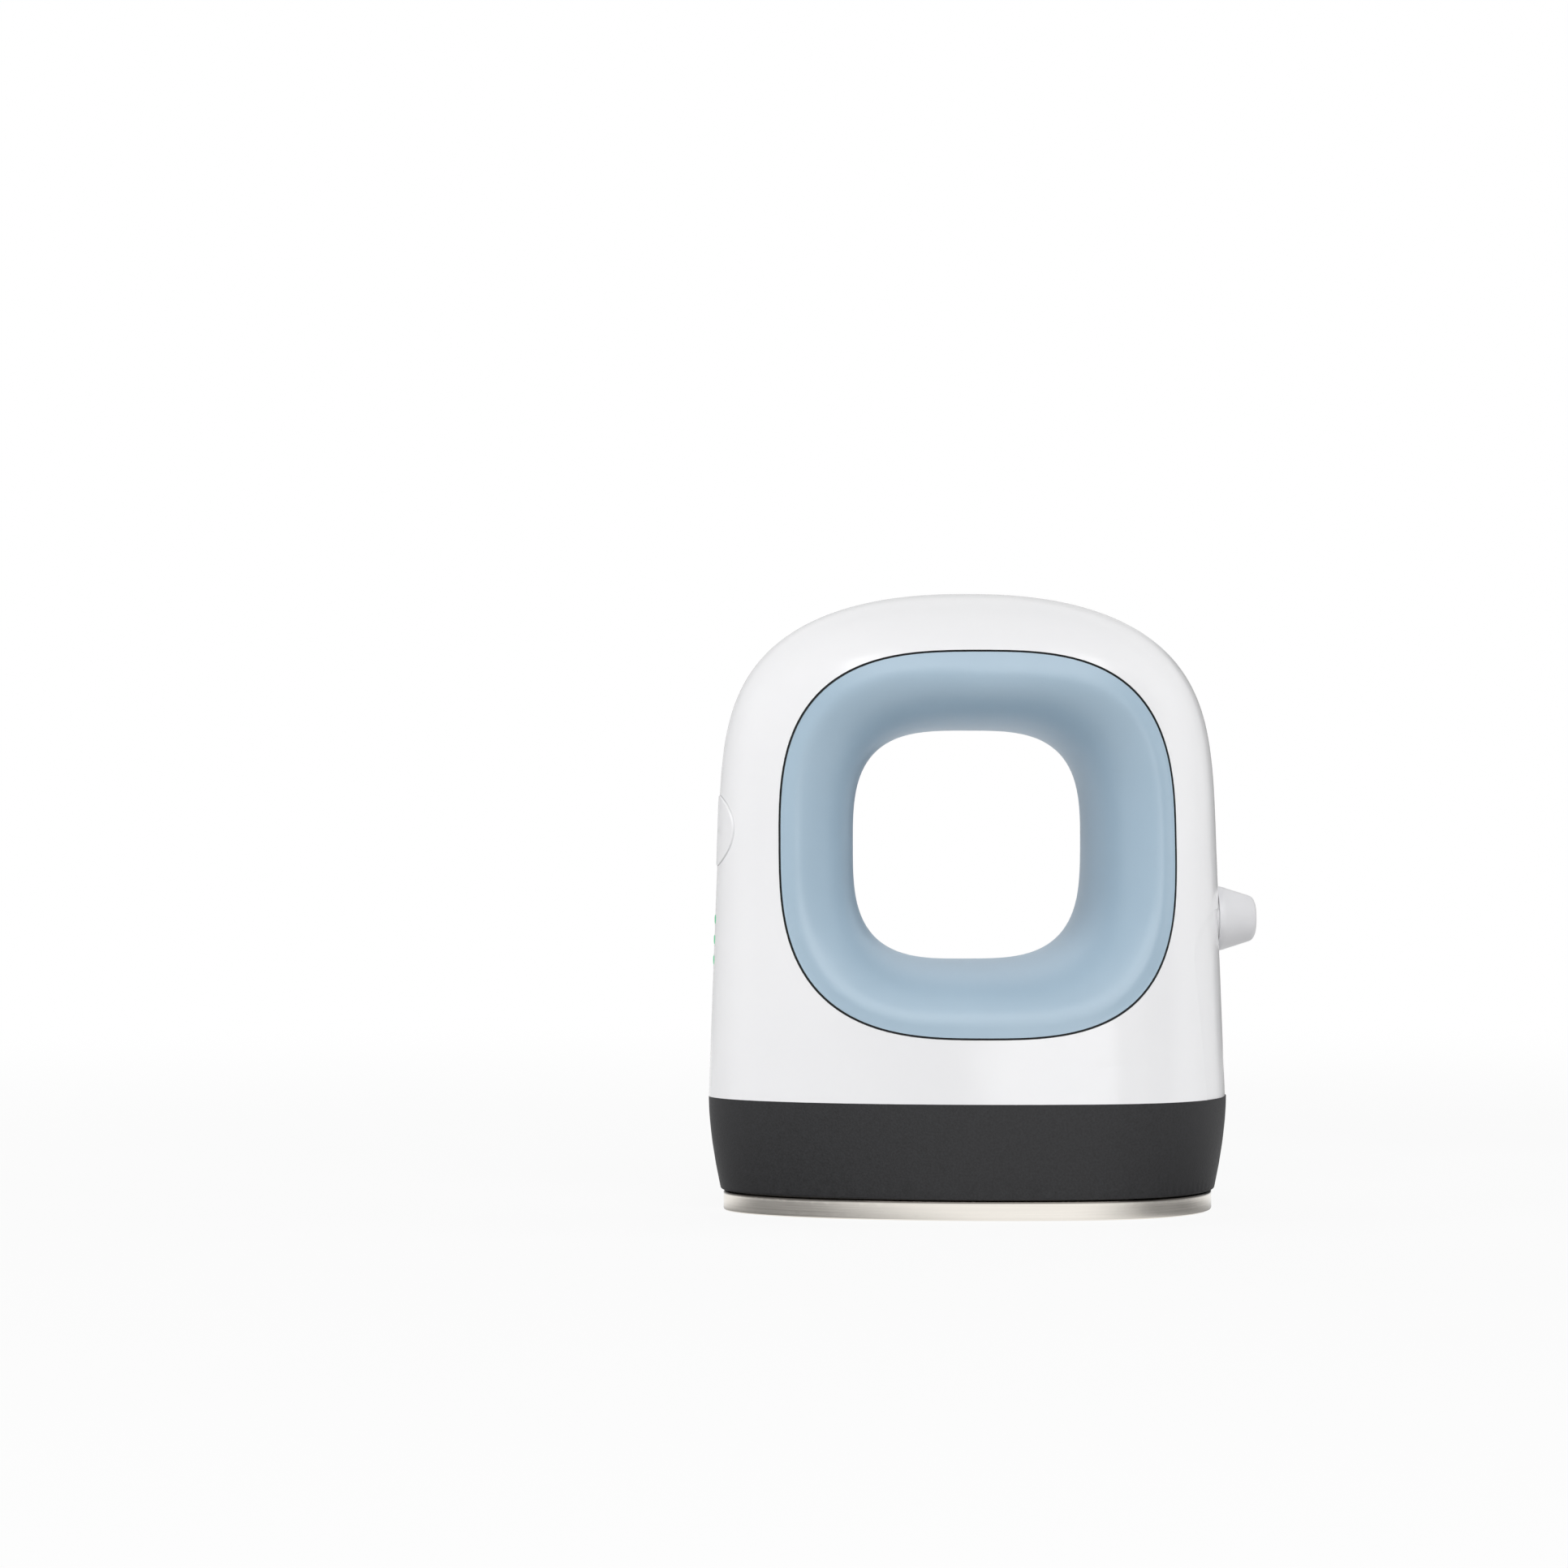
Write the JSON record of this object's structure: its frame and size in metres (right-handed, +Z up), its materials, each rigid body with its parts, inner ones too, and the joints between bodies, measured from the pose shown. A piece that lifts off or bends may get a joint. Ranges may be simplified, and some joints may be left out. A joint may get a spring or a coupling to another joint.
{
  "type": "mini handheld heat press",
  "caption": "Palm-sized heat press: an arch-shaped white shell with a ring handle, on a dark collar over a flat egg-shaped heated plate.",
  "frame": {"origin": "middle of the flat press face, where it rests on the work", "axes": "+Z up through the handle opening, +X toward the cord end, -X the nose with the button, -Y the front face"},
  "size_m": [0.0923, 0.0516, 0.1034],
  "materials": {
    "white_shell": "glossy moulded ABS",
    "white_button": "glossy moulded ABS",
    "white_gland": "soft satin moulding",
    "blue_grip": "satin soft-touch moulding",
    "dark_seal": "matte elastomer",
    "charcoal_collar": "finely textured heat-resistant moulding",
    "plate_metal": "satin coated casting",
    "tube_metal": "drawn sheath",
    "pin_steel": "plated",
    "seal_ceramic": "unglazed",
    "strip_steel": "stamped",
    "screw_steel": "zinc plated",
    "felt_pad": "pressed ceramic fibre",
    "shield_metal": "bright sheet",
    "brass_lug": "tinned lug",
    "fuse_metal": "drawn can",
    "board_green": "solder mask on laminate",
    "terminal_green": "moulded",
    "chip_black": "moulded",
    "capacitor_yellow": "moulded box",
    "capacitor_sleeve": "shrink sleeve",
    "inductor_core": "ferrite",
    "fuse_body": "moulded",
    "connector_white": "nylon",
    "led_green": "clear package over a green die",
    "clear_pipe": "clear acrylic lit green from behind",
    "lead_white": "silicone jacket",
    "lead_black": "silicone jacket",
    "lead_grey": "flat cable"
  },
  "bodies": {
    "press": {"body_shell": "white_shell", "front_grip": "blue_grip", "rear_grip": "blue_grip", "front_grip_seal": "dark_seal", "rear_grip_seal": "dark_seal", "base_collar": "charcoal_collar", "heat_plate": "plate_metal", "heater_tube": "tube_metal", "heater_pins": "pin_steel", "heater_end_seals": "seal_ceramic", "heater_clamp": "strip_steel", "clamp_screws": "screw_steel", "plate_spacers": "strip_steel", "plate_screws": "screw_steel", "insulation_pad": "felt_pad", "heat_shield": "shield_metal", "temperature_sensor": "brass_lug", "thermal_fuse": "fuse_metal", "fuse_strap": "strip_steel", "sensor_screws": "screw_steel", "main_board": "board_green", "board_screws": "screw_steel", "terminal_block": "terminal_green", "terminal_screws": "screw_steel", "triac": "chip_black", "film_capacitor": "capacitor_yellow", "bulk_capacitor": "capacitor_sleeve", "supply_inductor": "inductor_core", "microcontroller": "chip_black", "board_fuse": "fuse_body", "panel_connector": "connector_white", "sensor_connector": "connector_white", "panel_board": "board_green", "panel_screws": "screw_steel", "tact_switch": "chip_black", "status_leds": "led_green", "light_pipes": "clear_pipe", "cord_gland": "white_gland", "gland_clip": "strip_steel", "cord_clamp": "charcoal_collar", "cord_clamp_screws": "screw_steel", "heater_leads": "lead_white", "sensor_leads": "lead_black", "panel_leads": "lead_grey"},
    "button": {"power_button": "white_button", "switch_plunger": "connector_white"}
  },
  "joints": [
    {"name": "button_press", "type": "slide", "parent": "press", "child": "button", "axis": [1, 0, 0], "range_m": [0, 0.0004], "stiffness_N_per_m": 400}
  ]
}
